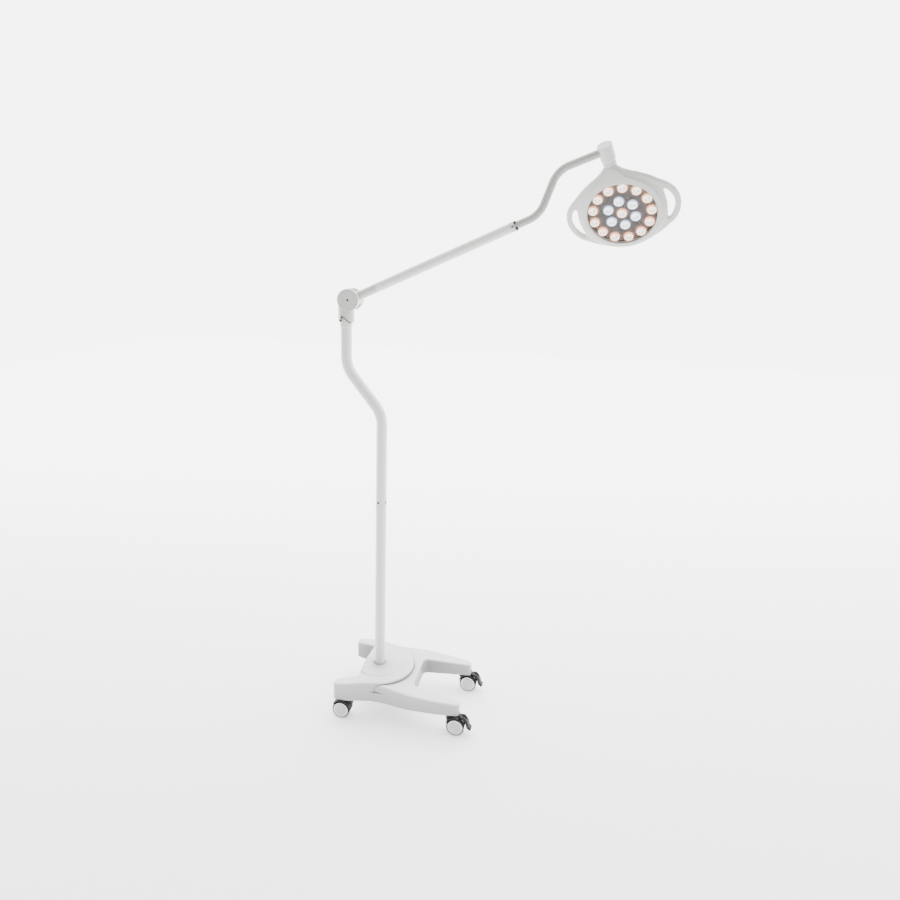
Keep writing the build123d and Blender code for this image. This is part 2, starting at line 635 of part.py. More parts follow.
def make_swivel():
    housing = rod(SWIVEL_RADIUS, SWIVEL_LOW, SWIVEL_HIGH) - rod(HEAD_SHAFT_RADIUS + RUNNING_GAP, -60, 60)
    housing = SWIVEL_PLANE * (housing - rod(13.0, 5.5, 40))
    housing = housing - TILT_PLANE * rod(S_ARM_RADIUS + RUNNING_GAP, -60, -9.6)
    keep("swivel_housing", housing)
    cap = rod(SWIVEL_RADIUS, SWIVEL_HIGH, CAP_HIGH)
    cap = fillet(cap.edges().group_by(Axis.Z)[-1], 1.2)
    keep("swivel_cap", SWIVEL_PLANE * cap)
    rings = []
    for low, high in ((-36.2, -27.3), (-45.7, -36.8)):
        ring = pipe(NECK_RADIUS, HEAD_SHAFT_RADIUS + RUNNING_GAP, low, high)
        outer = ring.edges().filter_by(GeomType.CIRCLE).filter_by(lambda e: e.length > 100)
        rings.append(SWIVEL_PLANE * chamfer(outer, 1.0))
    keep("swivel_rings", *rings)
    shaft = pipe(HEAD_SHAFT_RADIUS, 4.5, -78, 6.0) + pipe(9.6, 4.5, 6.0, 9.0)
    keep("head_shaft", SWIVEL_PLANE * shaft)


def teardrop(radius, neck_half, shoulder):
    """Round window surround with a neck on top, joined by two hollow shoulders."""
    top = HEAD_NECK_TOP
    face = Circle(radius) + Pos(0, top / 2) * Rectangle(2 * neck_half, top)
    return fillet(face.vertices().group_by(Axis.Y)[-2], shoulder)


def handle_outline():
    """Outer outline of the two grips, from the neck's shoulders round to the bottom."""
    right = [(26, 140), (70, 112), (115, 84), (150, 62), (172, 35), (HANDLE_REACH, 0), (172, -36),
             (150, -68), (112, -98), (60, -120), (0, -130)]
    left = [(-x, y) for x, y in reversed(right[:-1])]
    outline = Spline(*(right + left))
    return make_face([outline, Line(outline @ 1, outline @ 0)])


def grip_opening():
    """Crescent between a grip's bar and the round housing."""
    return [(137, 52), (150, 36), (160, 18), (162.5, -2), (158, -24), (147, -46), (133, -62), (128.5, -56),
            (134.5, -36), (138, -16), (139, 4), (137, 26), (133.5, 44)]


def grip_face():
    return make_face(Spline(*grip_opening(), periodic=True))


def make_head():
    body = teardrop(HOUSING_RADIUS, NECK_RADIUS, 25.0)
    housing = slab(body, HOUSING_BACK, -COVER_DEPTH)
    grips = slab(handle_outline(), -28, -12)
    opening = slab(grip_face(), -80, 20)
    grips = grips - opening - mirror(opening, about=Plane.YZ)
    grips = soften(grips, grips.edges().filter_by(lambda e: e.length > 60), (6.0, 5.0, 4.0))
    housing = soften(housing, housing.edges().group_by(Axis.Z)[0], (14.0, 10.0, 8.0, 5.0))
    neck = Pos(0, 0, -AXIS_BEHIND_WINDOW) * Rot(-90, 0, 0) * rod(NECK_RADIUS, 112, AXIS_TO_WINDOW + NECK_TOP)
    cavity = rod(122, HOUSING_BACK + 4, 20) + rod(96, HOUSING_BACK - 10, 20)
    shaft_hole = Pos(0, 0, -AXIS_BEHIND_WINDOW) * Rot(-90, 0, 0) * rod(HEAD_SHAFT_RADIUS, 100, 300)
    trim = block((-300, 300), (-300, 300), (-COVER_DEPTH, 100))
    housing = housing + grips + neck - trim - cavity - shaft_hole
    keep("head_housing", HEAD_PLANE * housing)

    cover = slab(teardrop(BEZEL_RADIUS, 12.0, 20.0), -COVER_DEPTH + 0.2, 0)
    cover = soften(cover, cover.edges().group_by(Axis.Z)[-1], (5.0, 4.0, 3.0))
    cover = cover - rod(WINDOW_SEAT_RADIUS, WINDOW_BACK, 10) - rod(WINDOW_SEAT_RADIUS - 3, -50, 10)
    keep("front_cover", HEAD_PLANE * cover)
    keep("window", HEAD_PLANE * rod(WINDOW_RADIUS, WINDOW_BACK, WINDOW_FRONT))
    seal = pipe(WINDOW_SEAT_RADIUS - 0.1, WINDOW_RADIUS + 0.1, WINDOW_BACK, WINDOW_FRONT)
    keep("window_seal", HEAD_PLANE * seal)

    back = rod(95.5, HOUSING_BACK - 8, HOUSING_BACK)
    back = fillet(back.edges().group_by(Axis.Z)[0], 7.0) - rod(88.0, HOUSING_BACK - 5, HOUSING_BACK + 1)
    back = back + Pos(0, BUTTON_HEIGHT, 0) * rod(14.0, HOUSING_BACK - 8, HOUSING_BACK)
    button_hole = Pos(0, BUTTON_HEIGHT, 0) * rod(9.4, -100, 0)
    keep("rear_cap", HEAD_PLANE * (back + pipe(95.5, 91, HOUSING_BACK, HOUSING_BACK + 6) - button_hole))
    button = rod(9.0, HOUSING_BACK - 10.5, HOUSING_BACK + 1) + rod(10.8, HOUSING_BACK + 0.2, HOUSING_BACK + 2)
    keep("power_button", HEAD_PLANE * Pos(0, BUTTON_HEIGHT, 0) * button)


def ring_places(radius, count, start):
    step = 360 / count
    return [(radius * sin(radians(start + i * step)), radius * cos(radians(start + i * step)))
            for i in range(count)]


def make_light():
    warm = ring_places(OUTER_RING_RADIUS, OUTER_RING_COUNT, 180 / OUTER_RING_COUNT) + [(0, 0)]
    cool = ring_places(INNER_RING_RADIUS, INNER_RING_COUNT, 0)
    board = rod(107.5, BOARD_FACE - 2, BOARD_FACE)
    keep("led_board", HEAD_PLANE * board)
    lens = Pos(0, 0, BOARD_FACE) * Cone(10.0, LENS_RADIUS, 5, align=(Align.CENTER, Align.CENTER, Align.MIN))
    lens = lens + rod(LENS_RADIUS, BOARD_FACE + 5, LENS_FACE)
    keep("warm_lenses", *[HEAD_PLANE * Pos(x, y, 0) * lens for x, y in warm])
    keep("cool_lenses", *[HEAD_PLANE * Pos(x, y, 0) * lens for x, y in cool])

    sink = rod(SINK_RADIUS, BOARD_FACE - 18, BOARD_FACE - 2)
    for i in range(-6, 7):
        fin_y = i * FIN_PITCH
        half = ((SINK_RADIUS - 2) ** 2 - fin_y ** 2) ** 0.5
        sink = sink + block((-half, half), (fin_y - 1.2, fin_y + 1.2), (BOARD_FACE - 34, BOARD_FACE - 17))
    keep("heat_sink", HEAD_PLANE * sink)
    board = block((-45, 45), (-30, 30), (-52, -50))
    chips = [block((x, x + 16), (y, y + 12), (-50, -47)) for x, y in ((-38, -20), (-8, 4), (20, -18))]
    keep("driver_board", HEAD_PLANE * (board + chips))
    screws = []
    for x, y in ring_places(107, 4, 45):
        screws.append(HEAD_PLANE * Pos(x, y, 0) * rod(2.8, HOUSING_BACK - 1.5, HOUSING_BACK))
    keep("housing_screws", *screws)


# ---- build ------------------------------------------------------------------

def main():
    make_base()
    make_base_inside()
    make_casters()
    make_pole()
    make_elbow()
    make_knuckle()
    make_arm()
    make_s_arm()
    make_swivel()
    make_head()
    make_light()
    os.makedirs("parts", exist_ok=True)
    for name, part in PARTS.items():
        export_step(part, "parts/" + name + ".step")
    print(len(PARTS), "nodes")


main()
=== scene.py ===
from math import cos, exp, pi, radians, sin

import bmesh
import bpy
from mathutils import Matrix, Vector


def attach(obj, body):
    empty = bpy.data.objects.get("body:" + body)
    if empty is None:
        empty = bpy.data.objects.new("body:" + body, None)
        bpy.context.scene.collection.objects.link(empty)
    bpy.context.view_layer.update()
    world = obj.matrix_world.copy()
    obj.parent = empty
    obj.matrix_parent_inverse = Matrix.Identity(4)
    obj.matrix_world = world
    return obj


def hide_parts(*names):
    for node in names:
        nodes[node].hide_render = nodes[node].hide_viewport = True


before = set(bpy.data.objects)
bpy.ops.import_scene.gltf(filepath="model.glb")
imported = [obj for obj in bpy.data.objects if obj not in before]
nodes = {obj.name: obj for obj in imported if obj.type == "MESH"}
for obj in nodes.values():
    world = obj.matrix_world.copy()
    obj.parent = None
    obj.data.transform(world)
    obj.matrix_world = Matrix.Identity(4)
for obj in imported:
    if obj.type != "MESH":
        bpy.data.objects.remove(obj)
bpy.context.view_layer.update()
MM = 0.001

# ---- the lamp head's own frame: sideways, up along the swivel, out of the window ----

HINGE = Vector((-114.0, 0.0, 1495.0)) * MM
# from the hinge along the lamp arm and the two runs of the S-arm: rise in degrees, length in metres
LAMP_ARM = (25.0, 0.683)
LOWER_RUN = (70.5, 0.1414)
UPPER_RUN = (22.3, 0.1511)
HEAD_TILT = radians(34.0)
HEAD_SPIN = radians(15.0)
WINDOW_BELOW_PIVOT = 0.2084
WINDOW_BEFORE_PIVOT = 0.035


def in_arm_plane(angle):
    return Vector((cos(radians(angle)), 0.0, sin(radians(angle))))


PIVOT = HINGE.copy()
for rise, length in (LAMP_ARM, LOWER_RUN, UPPER_RUN):
    PIVOT += in_arm_plane(rise) * length
ALONG = in_arm_plane(UPPER_RUN[0])
ABOVE = in_arm_plane(UPPER_RUN[0] + 90.0)
FRONT = Vector((0.0, -1.0, 0.0))
UP = ABOVE * cos(HEAD_TILT) + FRONT * sin(HEAD_TILT)
FACING = FRONT * cos(HEAD_TILT) - ABOVE * sin(HEAD_TILT)
OUT = FACING * cos(HEAD_SPIN) - ALONG * sin(HEAD_SPIN)
SIDE = UP.cross(OUT)
WINDOW = PIVOT - UP * WINDOW_BELOW_PIVOT + OUT * WINDOW_BEFORE_PIVOT

# the lenses stand on two rings round a middle one; radii in millimetres
WARM_RING, WARM_COUNT = 91.0, 13
COOL_RING, COOL_COUNT = 44.0, 6


def head_point(e, u, n):
    """Point given in millimetres in the lamp head's frame."""
    return WINDOW + (SIDE * e + UP * u + OUT * n) * MM


# ---- material building blocks -----------------------------------------------

def new_material(name):
    material = bpy.data.materials.new(name)
    material.use_nodes = True
    tree = material.node_tree
    return material, tree, tree.nodes["Principled BSDF"]


def noise(tree, scale, detail=3.0, roughness=0.5):
    place = tree.nodes.new("ShaderNodeTexCoord")
    texture = tree.nodes.new("ShaderNodeTexNoise")
    texture.inputs["Scale"].default_value = scale
    texture.inputs["Detail"].default_value = detail
    texture.inputs["Roughness"].default_value = roughness
    tree.links.new(place.outputs["Object"], texture.inputs["Vector"])
    return texture.outputs["Fac"]


def calc(tree, kind, a, b=None):
    """Maths node on one or two values, each a number or a socket."""
    node = tree.nodes.new("ShaderNodeMath")
    node.operation = kind
    for socket, value in zip(node.inputs, (a, b)):
        if value is None:
            continue
        if isinstance(value, (int, float)):
            socket.default_value = value
        else:
            tree.links.new(value, socket)
    return node.outputs[0]


def spread(tree, value, low, high, to_low, to_high, smooth=False):
    """Map a value's range low..high to to_low..to_high, held at the ends."""
    node = tree.nodes.new("ShaderNodeMapRange")
    node.interpolation_type = "SMOOTHSTEP" if smooth else "LINEAR"
    tree.links.new(value, node.inputs["Value"])
    for name, number in (("From Min", low), ("From Max", high), ("To Min", to_low), ("To Max", to_high)):
        node.inputs[name].default_value = number
    return node.outputs["Result"]


def mix_colour(tree, amount, first, second):
    """First colour where the amount is 0, second where it is 1; each a tuple or a socket."""
    node = tree.nodes.new("ShaderNodeMix")
    node.data_type = "RGBA"
    if isinstance(amount, (int, float)):
        node.inputs["Factor"].default_value = amount
    else:
        tree.links.new(amount, node.inputs["Factor"])
    first_colour, second_colour = node.inputs[6], node.inputs[7]
    for socket, value in ((first_colour, first), (second_colour, second)):
        if isinstance(value, tuple):
            socket.default_value = (*value, 1.0)
        else:
            tree.links.new(value, socket)
    return node.outputs[2]


def bump(tree, shader, height, strength, distance):
    node = tree.nodes.new("ShaderNodeBump")
    node.inputs["Strength"].default_value = strength
    node.inputs["Distance"].default_value = distance
    tree.links.new(height, node.inputs["Height"])
    tree.links.new(node.outputs["Normal"], shader.inputs["Normal"])


def coated(name, colour, roughness, grain, depth, coat=0.0, metallic=0.0, patch=0.03,
           speckle=0.0, shine=0.5):
    """Painted or moulded surface: faint patches of tone, smudges in the roughness, fine grain in bump."""
    material, tree, shader = new_material(name)
    patches = noise(tree, 9.0, 4.0)
    darker = tuple(c * (1.0 - patch) for c in colour)
    lighter = tuple(min(1.0, c * (1.0 + patch * 0.5)) for c in colour)
    tone = mix_colour(tree, patches, darker, lighter)
    fine = noise(tree, grain, 2.0)
    if speckle:
        dots = spread(tree, noise(tree, grain * 1.7, 1.0), 0.62, 0.7, 0.0, speckle)
        tone = mix_colour(tree, dots, tone, tuple(c * 0.5 for c in colour))
    tree.links.new(tone, shader.inputs["Base Color"])
    smudges = noise(tree, 26.0, 5.0, 0.65)
    uneven = spread(tree, smudges, 0.3, 0.7, roughness * 0.86, roughness * 1.16)
    tree.links.new(uneven, shader.inputs["Roughness"])
    shader.inputs["Metallic"].default_value = metallic
    shader.inputs["Specular IOR Level"].default_value = shine
    shader.inputs["Coat Weight"].default_value = coat
    shader.inputs["Coat Roughness"].default_value = 0.12
    bump(tree, shader, fine, 0.25, depth)
    return material


# colour of the shade painted into hollows and onto sides near the floor
PAINTED_SHADE_TONE = (0.06, 0.06, 0.06)


def paint_shade_in_hollows(material, reach, depth):
    """Paint shade into a coated surface's colour where other surfaces are near, as in the corners of a
    moulding and on sides close to the floor.
    """
    tree = material.node_tree
    tone = tree.nodes["Principled BSDF"].inputs["Base Color"]
    source = tone.links[0].from_socket
    # painted shade: ambient occlusion darkens the base colour towards the painted shade tone
    occlusion = tree.nodes.new("ShaderNodeAmbientOcclusion")
    occlusion.inputs["Distance"].default_value = reach
    occlusion.samples = 12
    amount = calc(tree, "POWER", occlusion.outputs["AO"], depth)
    tree.links.new(mix_colour(tree, amount, PAINTED_SHADE_TONE, source), tone)


def brushed(name, colour, roughness, across=(1.0, 1.0, 30.0)):
    """Metal with fine directional scratches."""
    material, tree, shader = new_material(name)
    place = tree.nodes.new("ShaderNodeTexCoord")
    stretch = tree.nodes.new("ShaderNodeMapping")
    stretch.inputs["Scale"].default_value = across
    lines = tree.nodes.new("ShaderNodeTexNoise")
    lines.inputs["Scale"].default_value = 160.0
    lines.inputs["Detail"].default_value = 6.0
    tree.links.new(place.outputs["Object"], stretch.inputs["Vector"])
    tree.links.new(stretch.outputs["Vector"], lines.inputs["Vector"])
    tone = mix_colour(tree, lines.outputs["Fac"], tuple(c * 0.86 for c in colour), colour)
    tree.links.new(tone, shader.inputs["Base Color"])
    shader.inputs["Metallic"].default_value = 1.0
    tree.links.new(spread(tree, lines.outputs["Fac"], 0.3, 0.7, roughness * 0.7, roughness * 1.3),
                   shader.inputs["Roughness"])
    bump(tree, shader, lines.outputs["Fac"], 0.15, 0.00003)
    return material


def offset_from(tree, point):
    """Vector from a fixed point to the place being shaded."""
    place = tree.nodes.new("ShaderNodeTexCoord")
    node = tree.nodes.new("ShaderNodeVectorMath")
    node.operation = "SUBTRACT"
    tree.links.new(place.outputs["Object"], node.inputs[0])
    node.inputs[1].default_value = tuple(point)
    return node.outputs[0]


def component(tree, vector, direction):
    """How far a vector reaches in a fixed direction."""
    node = tree.nodes.new("ShaderNodeVectorMath")
    node.operation = "DOT_PRODUCT"
    tree.links.new(vector, node.inputs[0])
    node.inputs[1].default_value = tuple(direction)
    return node.outputs["Value"]


def length_squared(tree, vector):
    node = tree.nodes.new("ShaderNodeVectorMath")
    node.operation = "DOT_PRODUCT"
    tree.links.new(vector, node.inputs[0])
    tree.links.new(vector, node.inputs[1])
    return node.outputs["Value"]


def length_of(tree, a, b):
    """Length of a vector in a plane, from its two components."""
    squares = calc(tree, "ADD", calc(tree, "MULTIPLY", a, a), calc(tree, "MULTIPLY", b, b))
    return calc(tree, "SQRT", squares)


# ---- materials ---------------------------------------------------------------

ENAMEL = coated("white_enamel", (0.70, 0.70, 0.685), 0.30, 700.0, 0.00003, coat=0.35, patch=0.02)
ARM_ENAMEL = coated("grey_enamel", (0.36, 0.365, 0.345), 0.34, 700.0, 0.00003, coat=0.25, patch=0.03)
KNUCKLE_ENAMEL = coated("knuckle_enamel", (0.52, 0.525, 0.505), 0.36, 620.0, 0.00004, coat=0.2, patch=0.03)
CAP_PLASTIC = coated("cap_plastic", (0.54, 0.545, 0.53), 0.42, 900.0, 0.00003, patch=0.02)
SHELL_PLASTIC = coated("shell_plastic", (0.54, 0.54, 0.525), 0.38, 1100.0, 0.00002, coat=0.12, patch=0.02)
BASE_PLASTIC = coated("base_plastic", (0.66, 0.66, 0.655), 0.46, 1400.0, 0.00004, patch=0.015)
GREY_PLASTIC = coated("grey_plastic", (0.55, 0.56, 0.56), 0.45, 1200.0, 0.00003, patch=0.03)
BLACK_PLASTIC = coated("black_plastic", (0.016, 0.016, 0.017), 0.5, 1500.0, 0.00005, patch=0.2, shine=0.2)
SEAL = coated("seal_rubber", (0.20, 0.19, 0.185), 0.6, 1500.0, 0.00004, patch=0.1)
RUBBER = coated("black_rubber", (0.014, 0.014, 0.015), 0.75, 1800.0, 0.00009, patch=0.3,
                speckle=0.3, shine=0.2)
IRON = coated("cast_iron", (0.06, 0.06, 0.062), 0.7, 260.0, 0.0004, metallic=0.6, patch=0.3)
STEEL = brushed("steel", (0.55, 0.55, 0.56), 0.28)
DARK_STEEL = brushed("black_steel", (0.05, 0.05, 0.053), 0.38, (8.0, 8.0, 8.0))
ALUMINIUM = brushed("aluminium", (0.72, 0.73, 0.74), 0.32, (1.0, 12.0, 1.0))

# painted shade on the base mouldings: darker in the notch between the legs and on the sides near the floor
paint_shade_in_hollows(BASE_PLASTIC, 0.25, 1.5)


HUB_CAP_RADIUS = 0.0201


def wheel_material(name, centre, axis):
    """Twin-wheel hub: grey cap inside a white rim, with a little dirt."""
    material, tree, shader = new_material(name)
    away = offset_from(tree, centre)
    along = component(tree, away, axis)
    across_squared = calc(tree, "SUBTRACT", length_squared(tree, away), calc(tree, "MULTIPLY", along, along))
    radius = calc(tree, "SQRT", across_squared)
    edge = spread(tree, radius, HUB_CAP_RADIUS - 0.0002, HUB_CAP_RADIUS + 0.0002, 0.0, 1.0)
    cap = (0.52, 0.53, 0.53)
    rim = (0.78, 0.78, 0.77)
    dirt = (0.35, 0.35, 0.34)
    patches = noise(tree, 60.0, 4.0)
    tone = mix_colour(tree, edge, cap, rim)
    tone = mix_colour(tree, spread(tree, patches, 0.45, 0.75, 0.0, 0.12), tone, dirt)
    tree.links.new(tone, shader.inputs["Base Color"])
    tree.links.new(spread(tree, patches, 0.3, 0.7, 0.36, 0.5), shader.inputs["Roughness"])
    bump(tree, shader, noise(tree, 1300.0), 0.2, 0.00003)
    return material


def ring_distance(tree, radius, angle, ring, count, start):
    """Distance to the nearest of the equally spaced places on a ring, in metres."""
    step = 2 * pi / count
    turned = calc(tree, "SUBTRACT", angle, start)
    folded = calc(tree, "FLOORED_MODULO", calc(tree, "ADD", turned, step / 2), step)
    local = calc(tree, "SUBTRACT", folded, step / 2)
    sideways = calc(tree, "MULTIPLY", radius, calc(tree, "SINE", local))
    outward = calc(tree, "SUBTRACT", calc(tree, "MULTIPLY", radius, calc(tree, "COSINE", local)), ring)
    return length_of(tree, sideways, outward)


LENS_RADIUS = 0.0138


def halo(tree, distance, reach, strength):
    """Light spilt on the board from a lens's edge out to a distance from its centre."""
    return spread(tree, distance, LENS_RADIUS, reach, strength, 0.0, smooth=True)


def board_material():
    """Board behind the window, lit by the light spilt round every lens."""
    material, tree, shader = new_material("lit_board")
    away = offset_from(tree, WINDOW)
    e = component(tree, away, SIDE)
    u = component(tree, away, UP)
    radius = length_of(tree, e, u)
    angle = calc(tree, "ARCTAN2", e, u)
    to_outer = ring_distance(tree, radius, angle, WARM_RING * MM, WARM_COUNT, pi / WARM_COUNT)
    to_warm = calc(tree, "MINIMUM", to_outer, radius)
    to_cool = ring_distance(tree, radius, angle, COOL_RING * MM, COOL_COUNT, 0.0)
    edge = spread(tree, radius, 0.055, 0.10, 0.0, 1.0, smooth=True)
    ground = mix_colour(tree, edge, (0.036, 0.032, 0.031), (0.052, 0.036, 0.028))
    cells = noise(tree, 120.0, 5.0)
    ground = mix_colour(tree, spread(tree, cells, 0.35, 0.7, 0.0, 0.22), ground, (0.03, 0.026, 0.026))
    tone = ground
    for distance, reach, strength, light in (
        (to_warm, 0.026, 0.45, (0.24, 0.13, 0.085)),
        (to_cool, 0.023, 0.4, (0.11, 0.12, 0.16)),
        (to_warm, 0.0178, 0.95, (1.0, 0.52, 0.30)),
        (to_cool, 0.0172, 0.8, (0.62, 0.74, 0.95)),
    ):
        tone = mix_colour(tree, halo(tree, distance, reach, strength), tone, light)
    tree.links.new(tone, shader.inputs["Base Color"])
    tree.links.new(tone, shader.inputs["Emission Color"])
    shader.inputs["Emission Strength"].default_value = 0.55
    shader.inputs["Roughness"].default_value = 0.55
    bump(tree, shader, cells, 0.2, 0.0001)
    return material


def lens_material(name, tint, cell_tint):
    """Lit lens: bright face with a fine pattern of cells in a second tint."""
    material, tree, shader = new_material(name)
    cells = noise(tree, 420.0, 3.0)
    tone = mix_colour(tree, spread(tree, cells, 0.3, 0.7, 0.0, 1.0), tint, cell_tint)
    tree.links.new(tone, shader.inputs["Base Color"])
    tree.links.new(tone, shader.inputs["Emission Color"])
    shader.inputs["Emission Strength"].default_value = 2.0
    shader.inputs["Roughness"].default_value = 0.12
    shader.inputs["Coat Weight"].default_value = 0.6
    bump(tree, shader, cells, 0.3, 0.0001)
    return material


def window_material():
    """Clear moulded window: mostly transparent, with a soft surface reflection."""
    material, tree, shader = new_material("clear_window")
    clear = tree.nodes.new("ShaderNodeBsdfTransparent")
    clear.inputs["Color"].default_value = (0.96, 0.95, 0.95, 1.0)
    blend = tree.nodes.new("ShaderNodeMixShader")
    haze = noise(tree, 30.0, 4.0)
    shader.inputs["Base Color"].default_value = (0.85, 0.85, 0.86, 1.0)
    tree.links.new(spread(tree, haze, 0.3, 0.7, 0.05, 0.12), shader.inputs["Roughness"])
    amount = spread(tree, haze, 0.2, 0.8, 0.008, 0.025)
    tree.links.new(amount, blend.inputs[0])
    tree.links.new(clear.outputs[0], blend.inputs[1])
    tree.links.new(shader.outputs[0], blend.inputs[2])
    tree.links.new(blend.outputs[0], tree.nodes["Material Output"].inputs["Surface"])
    return material


BOARD = board_material()
WARM = lens_material("warm_lens", (1.0, 0.95, 0.88), (1.0, 0.90, 0.80))
COOL = lens_material("cool_lens", (0.95, 0.98, 1.0), (0.86, 0.92, 1.0))
CLEAR = window_material()

LOOKS = {
    ENAMEL: ("lower_pole", "upper_pole", "pole_collar", "arm_tube"),
    ARM_ENAMEL: ("s_arm_tube",),
    KNUCKLE_ENAMEL: ("elbow_bracket", "arm_knuckle", "swivel_housing"),
    CAP_PLASTIC: ("knuckle_caps", "swivel_cap", "arm_end_bush", "arm_ring", "swivel_rings"),
    BASE_PLASTIC: ("base_cover", "base_shell"),
    SHELL_PLASTIC: ("rear_cap",),
    BLACK_PLASTIC: ("power_supply", "power_inlet", "s_arm_clip", "caster_fl_fork", "caster_fr_fork",
                    "caster_rl_fork", "caster_rr_fork", "brake_pedal_fr", "brake_pedal_rr"),
    RUBBER: ("caster_fl_tyres", "caster_fr_tyres", "caster_rl_tyres", "caster_rr_tyres"),
    DARK_STEEL: ("pole_screws", "stop_screw", "hinge_screws", "arm_end_screw", "housing_screws"),
    STEEL: ("base_frame", "base_screws", "pole_spigot", "swivel_spindle", "hinge_pin", "gas_spring",
            "head_shaft"),
    ALUMINIUM: ("heat_sink", "spring_anchor"),
    IRON: ("counterweight",),
    BOARD: ("led_board",),
    GREY_PLASTIC: ("swivel_bush", "friction_washers", "power_button", "driver_board"),
    SEAL: ("window_seal",),
    WARM: ("warm_lenses",),
    COOL: ("cool_lenses",),
    CLEAR: ("window",),
}


def dress(obj, material):
    obj.data.materials.clear()
    obj.data.materials.append(material)


for material, names in LOOKS.items():
    for name in names:
        dress(nodes[name], material)

# stem's x and y in millimetres, and the heading of the wheel from it in degrees
CASTERS = {"fl": (-74.0, -134.0, 180.0), "fr": (297.0, -124.0, 0.0), "rl": (-74.0, 134.0, 12.0),
           "rr": (297.0, 124.0, 0.0)}
CASTER_TRAIL = 24.0
WHEEL_RADIUS = 32.0
for key, (x, y, heading) in CASTERS.items():
    turn = radians(heading)
    centre = Vector((x + CASTER_TRAIL * cos(turn), y + CASTER_TRAIL * sin(turn), WHEEL_RADIUS)) * MM
    hub = wheel_material("hub_" + key, centre, (-sin(turn), cos(turn), 0.0))
    dress(nodes["caster_" + key + "_wheel"], hub)

# ---- lamp head shell -----------------------------------------------------------

# radius in millimetres at an angle in degrees from the neck: the front cover's edge, and the whole outline
CREASE = [(0, 161), (3, 158), (10, 144), (16, 133.5), (24, 127.5), (40, 126), (60, 125.5), (80, 125),
          (100, 125), (180, 125)]
OUTLINE = [(0, 161), (8, 160), (11, 154), (17, 148), (25, 145), (34, 145), (43, 147.5), (53, 151.5),
           (60, 157), (66, 164.5), (72, 171.5), (78, 176.5), (90, 180), (103, 176.5), (108, 173),
           (116, 166), (122, 157), (132, 148), (145, 139), (154, 135), (166, 131), (180, 129)]
CREASE_LEAST, CREASE_MOST = 126.0, 161.0
CREASE_FRONT = -2.5
CREASE_FALL = 13.0
WINDOW_SEAT = 108.5
FACE_STEP = 1.2
FACE_FALL = 9.0
FALL_REACH = 7.0
WIDEST_LINE = -19.0
WALL_RADIUS = 131.0
GRIP_ROOT = 135.0
BACK_OPENING = 96.0


def smooth_between(table, x):
    """Smooth curve through a table of points (monotone cubic)."""
    x = abs(x)
    for i in range(len(table) - 1):
        (x0, y0), (x1, y1) = table[i], table[i + 1]
        if x <= x1:
            break

    def slope(j):
        if j <= 0 or j >= len(table) - 1:
            return 0.0
        before = (table[j][1] - table[j - 1][1]) / (table[j][0] - table[j - 1][0])
        after = (table[j + 1][1] - table[j][1]) / (table[j + 1][0] - table[j][0])
        return 0.0 if before * after <= 0 else 2 * before * after / (before + after)

    width = x1 - x0
    t = min(1.0, max(0.0, (x - x0) / width))
    return ((2 * t ** 3 - 3 * t ** 2 + 1) * y0 + (t ** 3 - 2 * t ** 2 + t) * width * slope(i)
            + (3 * t ** 2 - 2 * t ** 3) * y1 + (t ** 3 - t ** 2) * width * slope(i + 1))


def polar(angle, radius, n):
    """Point at an angle from the neck, a radius and a depth, in the lamp head's frame."""
    return head_point(radius * sin(radians(angle)), radius * cos(radians(angle)), n)


def crease_depth(angle):
    """How far behind the window's plane the crease lies: deeper towards the neck."""
    rise = (smooth_between(CREASE, angle) - CREASE_LEAST) / (CREASE_MOST - CREASE_LEAST)
    return CREASE_FRONT - CREASE_FALL * max(0.0, rise)


def face_fall(away):
    """How far the face falls back at a distance outside the crease."""
    return FACE_STEP + FACE_FALL * (1 - exp(-away / FALL_REACH))


def shell_profile(angle):
    """Profile of the shell at one angle, from the window's seat round the rim to the back."""
    crease = smooth_between(CREASE, angle)
    rim = max(smooth_between(OUTLINE, angle), crease + 1.5)
    depth = crease_depth(angle)
    gap = rim - crease
    wall = min(WALL_RADIUS, rim - 1.0)
    under_cover = depth - 1.5 if depth > -6 else -7.0
    rows = [(WINDOW_SEAT, -14.0), (WINDOW_SEAT, under_cover),
            ((WINDOW_SEAT + crease) / 2, depth * 0.5 - 1.6), (crease - 2.0, depth - 0.9),
            (crease, depth - FACE_STEP)]
    for part in (0.12, 0.3, 0.5, 0.7):
        rows.append((crease + gap * part, depth - face_fall(gap * part)))
    face = depth - face_fall(gap)
    edge = min(8.0, gap * 0.5)
    widest = min(face - edge, WIDEST_LINE)
    rows += [(rim - edge * 0.35, face - edge * 0.25), (rim, widest), (rim - edge * 0.25, widest - 6.0),
             (rim - edge, widest - 9.0), (wall + max(0.0, rim - GRIP_ROOT) * 0.3, -29.5), (wall, -37.0),
             (wall - 2.0, -48.0), (wall - 8.0, -56.0), (wall - 19.0, -60.0), (BACK_OPENING, -61.0),
             (BACK_OPENING, -56.0)]
    return rows


def add_mesh(name, bm):
    """Object with the mesh, faces turned outwards, in the scene."""
    bmesh.ops.recalc_face_normals(bm, faces=bm.faces)
    mesh = bpy.data.meshes.new(name)
    bm.to_mesh(mesh)
    bm.free()
    obj = bpy.data.objects.new(name, mesh)
    bpy.context.scene.collection.objects.link(obj)
    return obj


def grid_mesh(name, rows_of_points, closed=True):
    """Mesh from loops of points; neighbouring loops are joined by quads."""
    bm = bmesh.new()
    loops = [[bm.verts.new(p) for p in row] for row in rows_of_points]
    count = len(loops[0])
    for first, second in zip(loops, loops[1:]):
        for i in range(count):
            j = (i + 1) % count
            bm.faces.new((first[i], first[j], second[j], second[i]))
    if closed:
        bm.faces.new(list(reversed(loops[0])))
        bm.faces.new(loops[-1])
    return add_mesh(name, bm)


def apply_all(obj):
    """Bake an object's modifiers into its mesh."""
    graph = bpy.context.evaluated_depsgraph_get()
    baked = bpy.data.meshes.new_from_object(obj.evaluated_get(graph))
    obj.modifiers.clear()
    obj.data = baked


